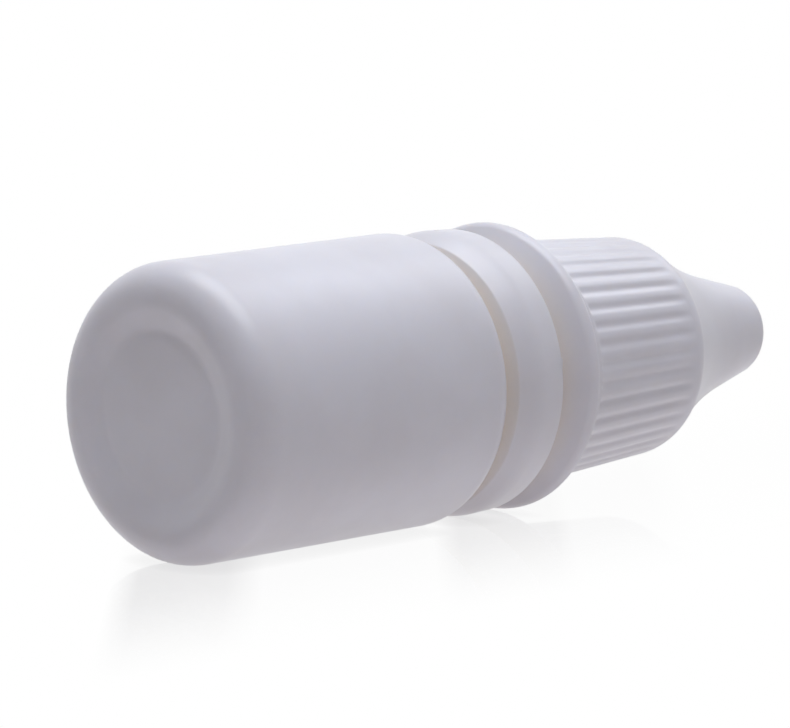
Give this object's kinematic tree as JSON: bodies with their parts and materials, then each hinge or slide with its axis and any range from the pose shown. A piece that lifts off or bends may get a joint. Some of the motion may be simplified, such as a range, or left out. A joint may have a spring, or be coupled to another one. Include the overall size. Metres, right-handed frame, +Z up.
{
  "type": "dual-chamber dropper vial",
  "caption": "Squeeze vial with a powder chamber in its neck, a push-through plug, a dropper tip, a tear ring and a ribbed screw cap with a tall nose.",
  "frame": {"origin": "centre of the base, on the plane that the vial stands on", "axes": "+Z up along the vial's axis from the base to the nose; +X and +Y are any two square directions across it"},
  "size_m": [0.024, 0.024, 0.0689],
  "materials": {
    "bottle_white": "blow-moulded white polyethylene, satin",
    "chamber_natural": "natural polypropylene, satin",
    "plug_grey": "moulded grey elastomer",
    "plunger_ivory": "ivory polypropylene, satin",
    "seal_grey": "grey silicone",
    "tip_natural": "natural soft polyethylene",
    "ring_white": "moulded white polyethylene, satin",
    "cap_white": "moulded white polyethylene, satin",
    "pad_grey": "soft grey elastomer"
  },
  "bodies": {
    "vial": {"bottle": "bottle_white", "powder_chamber": "chamber_natural"},
    "ring": {"tear_ring": "ring_white"},
    "plunger": {"plunger": "plunger_ivory", "plunger_seal": "seal_grey", "dropper_tip": "tip_natural"},
    "plug": {"chamber_plug": "plug_grey"},
    "cap_pad": {"tip_seal": "pad_grey"},
    "cap": {"cap": "cap_white"}
  },
  "joints": [
    {"name": "cap_lift", "type": "slide", "parent": "vial", "child": "cap_pad", "axis": [0, 0, 1], "range_m": [0, 0.00601]},
    {"name": "cap_turn", "type": "hinge", "parent": "cap_pad", "child": "cap", "pos_m": [0, 0, 0], "axis": [0, 0, 1], "range_deg": [0, 720]},
    {"name": "ring_turn", "type": "hinge", "parent": "vial", "child": "ring", "pos_m": [0, 0, 0], "axis": [0, 0, 1], "continuous": true},
    {"name": "plunger_press", "type": "slide", "parent": "vial", "child": "plunger", "axis": [0, 0, -1], "range_m": [0, 0.0044]},
    {"name": "plug_release", "type": "slide", "parent": "vial", "child": "plug", "axis": [0, 0, -1], "range_m": [0, 0.0044]}
  ],
  "couplings": [
    {"joint": "cap_lift", "follows": "cap_turn", "m_per_rad": 0.00047746},
    {"joint": "plug_release", "follows": "plunger_press", "ratio": 1}
  ]
}
